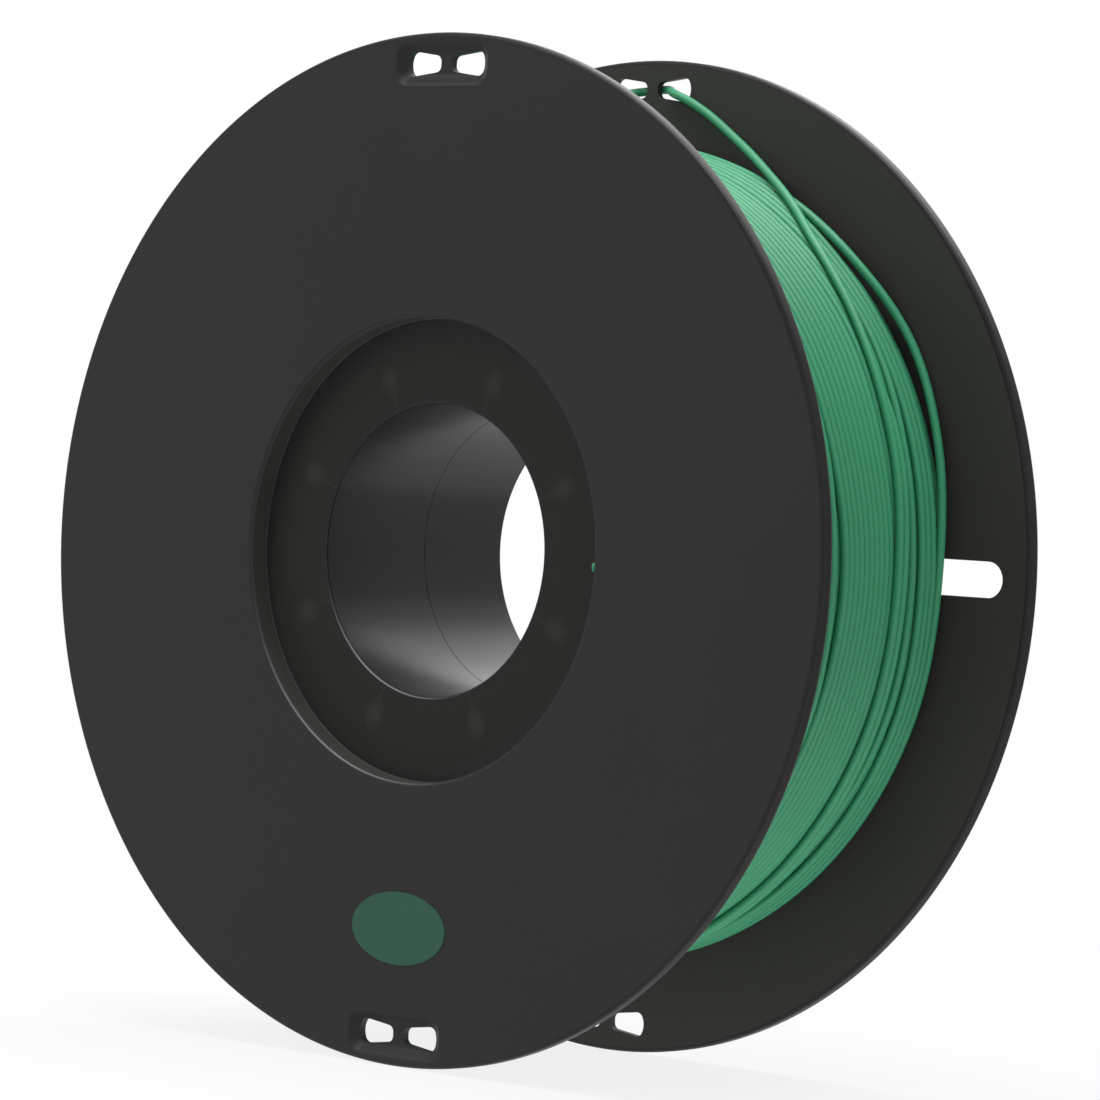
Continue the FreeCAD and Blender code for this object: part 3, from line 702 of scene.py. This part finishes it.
def layer_knots(rows):
    """The whole layer as one line of (degrees, radius, place)."""
    knots = [(-150, BELOW_R, FRONT_EDGE), (-100, LAYER_R - 0.8, FRONT_EDGE)]
    for number, (places, lifts) in enumerate(rows):
        turned = 360 * number
        for degrees, place, lift in zip(ANGLES, places, lifts):
            knots.append((degrees + turned, LAYER_R + lift, place))
        if number == len(rows) - 1:
            break
        next_places, next_lifts = rows[number + 1]
        span = 360 + ANGLES[0] - ANGLES[-1]
        for degrees, own, following in BEHIND:
            share = (degrees - ANGLES[-1]) / span
            place = places[-1] + (next_places[0] - places[-1]) * share
            lift = lifts[-1] * own + next_lifts[0] * following
            knots.append((degrees + turned, LAYER_R + lift, place))
    for degrees, lift, place in CROSSING:
        knots.append((degrees + turned, LAYER_R + lift, place))
    return knots


wound_turns = to_object(strand("wound_turns", through(layer_knots(turns_of_layer()), 150), 3),
                        "wound_turns", green_insulation)
smooth(wound_turns, 60)
finished(wound_turns, "wire_outer_layer")

# The layers below: one more real layer of turns under the gaps, and a body whose sides show the stacked
# edges that the sight slot opens on.
BELOW_TURNS = 33
BELOW_SPAN = 57.5
SIDE_Y = 29.55
STACK_PITCH = 1.55


def below_knots():
    """The topmost layer below as one line from the rear flange to the front one, a little uneven."""
    knots = [(-200.0, BELOW_R - 0.6, 29.0)]
    quarters = BELOW_TURNS * 4
    for number in range(quarters + 1):
        place = BELOW_SPAN / 2 - BELOW_SPAN * number / quarters
        knots.append((90.0 * number, BELOW_R, place + 0.12 * math.sin(number * 1.7)))
    return knots


def stacked_side():
    """One side of the wound body, from the barrel outwards: (radius, place), a bulge for each layer."""
    side = [(BARREL_R + 0.2, SIDE_Y - 0.45)]
    for number in range(int((BELOW_R - BARREL_R - 0.6) / STACK_PITCH)):
        r = BARREL_R + 0.35 + STACK_PITCH * number
        for part, dip in ((0.0, 0.45), (0.18, 0.12), (0.5, 0.0), (0.82, 0.12)):
            side.append((r + STACK_PITCH * part, SIDE_Y - dip))
    side.append((BELOW_R - 0.35, SIDE_Y - 0.6))
    return side


below = strand("layers_below", through(below_knots(), 96), 2)
rear_side = stacked_side()
front_side = [(r, -y) for r, y in reversed(rear_side)]
body = to_object(lathe(rear_side + front_side, 144), "wound_body", green_insulation)
below.from_mesh(body.data)
bpy.data.objects.remove(body)
layers_below = to_object(below, "layers_below", green_insulation)
smooth(layers_below, 60)
finished(layers_below, "wire_inner_layers")

# The free end: along the layer as (degrees, radius, place), then through the rear flange as (x, y, z).
FREE_LIE = ((11, 82.12, 13.3), (15, 82.32, 13.6), (23, 82.35, 13.9), (31, 82.35, 14.7), (39, 82.35, 16.0),
            (46, 82.35, 17.4), (52, 82.35, 19.6), (57, 82.9, 22.3), (61.5, 83.6, 24.3), (66, 84.4, 26.1),
            (70.5, 85.8, 27.7), (75, 87.6, 28.7), (79.5, 90.25, 29.0), (83.4, 92.4, 28.95))
FREE_THREADED = ((6.3, 28.95, 93.25), (2.6, 32.44, 94.4), (-3.6, 32.44, 93.9), (-7.7, 29.03, 93.0),
                 (-13.4, 29.03, 92.0))
FREE_END = [tuple(round_axis(*place)) for place in FREE_LIE] + list(FREE_THREADED)

wire_free_run = wire_curve("wire_free_run", FREE_END, "NURBS", 4)
wire_free_run.data.resolution_u = 24
free_spline = wire_free_run.data.splines[0]
free_spline.order_u = 3
free_spline.use_endpoint_u = True
finished(wire_free_run, "wire_free_end")

# The inner end, whose tip stands in the start hole: how far the tip is from the middle of the barrel's wall,
# and the whole end's length.
TIP_REACH = 3.0
INNER_END_LENGTH = 9.4
along_hole = Vector((math.cos(START_SLOPE), math.sin(START_SLOPE), 0))
inner_tip = Vector(START_HOLE) - along_hole * TIP_REACH
inner_points = [inner_tip + along_hole * far for far in (0, INNER_END_LENGTH)]
wire_inner_end = to_object(strand("wire_inner_end", inner_points, 10), "wire_inner_end", green_insulation)
soften(wire_inner_end, 0.12, 60)
smooth(wire_inner_end, 50)
finished(wire_inner_end, "wire_start_end")

# The label.
LABEL_HALF_WIDTH = 12.2
LABEL_HALF_HEIGHT = 7.1
LABEL_T = 0.15
LABEL_HEIGHT = -73.3


def oval_sticker():
    """A thin oval sticker with a slightly rounded edge, lying on the front face."""
    bm = bmesh.new()
    bmesh.ops.create_circle(bm, cap_ends=True, segments=96, radius=MM)
    bmesh.ops.scale(bm, verts=bm.verts, vec=(LABEL_HALF_WIDTH, LABEL_HALF_HEIGHT, 1))
    bmesh.ops.rotate(bm, verts=bm.verts, cent=(0, 0, 0), matrix=Matrix.Rotation(math.radians(90), 3, "X"))
    bmesh.ops.translate(bm, verts=bm.verts, vec=mm(0, -WIDTH / 2, LABEL_HEIGHT))
    raised = set(extruded(bm, bm.faces[:], (0, -LABEL_T, 0)))
    rim = [edge for edge in bm.edges if raised.issuperset(edge.verts)]
    bmesh.ops.bevel(bm, geom=rim, offset=0.08 * MM, segments=3, profile=0.5, affect="EDGES", material=-1)
    bmesh.ops.recalc_face_normals(bm, faces=bm.faces)
    return bm


oval_label = to_object(oval_sticker(), "oval_label", label_green)
smooth(oval_label, 50)
finished(oval_label, "label")


# Floor, light and camera.

FLOOR_R = 0.64
FLOOR_GAP = 0.00005
STRIP_GLOW, BESIDE_GLOW = 3.4, 1.3
# The camera as fitted to the photograph: turns in degrees, distance and sensor in mm, lens in pixels.
AZIMUTH, ELEVATION, ROLL = 41.504, 1.153, 2.874
YAW, PITCH = 0.21, -0.033
DISTANCE = 1061.672
SENSOR = 36.0
LENS_PIXELS = 5369.825
PHOTO_PIXELS = 1100


def seen_directly(tree):
    """1 for the rays that show a background: from the camera, in a reflection or through glass."""
    path = node(tree, "ShaderNodeLightPath")
    seen = maths(tree, "MAXIMUM", path.outputs["Is Camera Ray"], path.outputs["Is Glossy Ray"])
    return maths(tree, "MAXIMUM", seen, path.outputs["Is Transmission Ray"])


def studio_floor():
    """A pale floor that keeps the spool's shadow and fades into the white background further out.

    For the rays that only carry light it glows, most in a strip between the flanges.
    """
    material, tree, shader = new_material("studio_floor")
    seen = seen_directly(tree)
    place = object_place(tree)
    plug(tree, mix_colour(tree, seen, (0.85, 0.85, 0.85), (0.58, 0.58, 0.58)), shader.inputs["Base Color"])
    shader.inputs["Roughness"].default_value = 0.9
    shader.inputs["Specular IOR Level"].default_value = 0.0
    from_middle = maths(tree, "ABSOLUTE", coordinates(tree, place)["Y"])
    beside_strip = ramp(tree, from_middle, 30.0 * MM, 45.0 * MM)
    unseen_glow = choice(tree, beside_strip, STRIP_GLOW, BESIDE_GLOW)
    glow = node(tree, "ShaderNodeEmission")
    plug(tree, choice(tree, seen, unseen_glow, 1.0), glow.inputs["Strength"])
    pale = node(tree, "ShaderNodeMixShader")
    plug(tree, choice(tree, seen, 0.35, 0.85), pale.inputs["Fac"])
    plug(tree, shader.outputs["BSDF"], pale.inputs[1])
    plug(tree, glow.outputs["Emission"], pale.inputs[2])
    length = node(tree, "ShaderNodeVectorMath", operation="LENGTH")
    plug(tree, place, length.inputs[0])
    whole = node(tree, "ShaderNodeMixShader")
    plug(tree, ramp(tree, length.outputs["Value"], 0.28, 0.62), whole.inputs["Fac"])
    plug(tree, pale.outputs["Shader"], whole.inputs[1])
    plug(tree, node(tree, "ShaderNodeBsdfTransparent").outputs["BSDF"], whole.inputs[2])
    plug(tree, whole.outputs["Shader"], tree.nodes["Material Output"].inputs["Surface"])
    bm = bmesh.new()
    bmesh.ops.create_circle(bm, cap_ends=True, segments=96, radius=FLOOR_R)
    bmesh.ops.translate(bm, verts=bm.verts, vec=(0, 0, -FLANGE_R * MM - FLOOR_GAP))
    return to_object(bm, "studio_floor", material)


def studio_world():
    """White where it is seen, dimmer where it only gives light."""
    world = bpy.data.worlds.new("studio")
    bpy.context.scene.world = world
    world.use_nodes = True
    tree = world.node_tree
    background = tree.nodes["Background"]
    background.inputs["Color"].default_value = (1, 1, 1, 1)
    plug(tree, choice(tree, seen_directly(tree), 0.28, 1.0), background.inputs["Strength"])


def softbox(name, place, size, watts):
    """A rectangular light that looks at the spool's centre."""
    light = bpy.data.lights.new(name, "AREA")
    light.shape = "RECTANGLE"
    light.size, light.size_y = size
    light.energy = watts
    made = bpy.data.objects.new(name, light)
    bpy.context.scene.collection.objects.link(made)
    made.location = place
    made.rotation_euler = (-Vector(place)).to_track_quat("-Z", "Y").to_euler()


def photo_camera():
    """The photograph's camera, in the spool's own frame."""
    azimuth, elevation, roll = (math.radians(v) for v in (AZIMUTH, ELEVATION, ROLL))
    yaw, pitch = (math.radians(v) for v in (YAW, PITCH))
    back = Vector((math.sin(azimuth) * math.cos(elevation), -math.cos(azimuth) * math.cos(elevation),
                   math.sin(elevation)))
    right = Vector((math.cos(azimuth), math.sin(azimuth), 0))
    up = back.cross(right)
    right, up = (right * math.cos(roll) + up * math.sin(roll), up * math.cos(roll) - right * math.sin(roll))
    turn = Matrix.Rotation(pitch, 3, "X") @ Matrix.Rotation(yaw, 3, "Y") @ Matrix((right, up, back))
    data = bpy.data.cameras.new("photo_camera")
    data.sensor_width = SENSOR
    data.lens = LENS_PIXELS / PHOTO_PIXELS * SENSOR
    data.clip_start = 0.01
    made = bpy.data.objects.new("photo_camera", data)
    bpy.context.scene.collection.objects.link(made)
    made.matrix_world = Matrix.Translation(back * DISTANCE * MM) @ turn.transposed().to_4x4()
    bpy.context.scene.camera = made


studio_floor()
studio_world()
softbox("top_softbox", (0.05, 0.0, 1.1), (0.85, 0.85), 20)
softbox("rear_softbox", (-0.25, 1.2, 0.85), (1.1, 0.6), 6)
softbox("fill_softbox", (-0.35, -0.60, 0.62), (0.4, 0.4), 3)
photo_camera()
bpy.context.scene.view_settings.view_transform = "Standard"
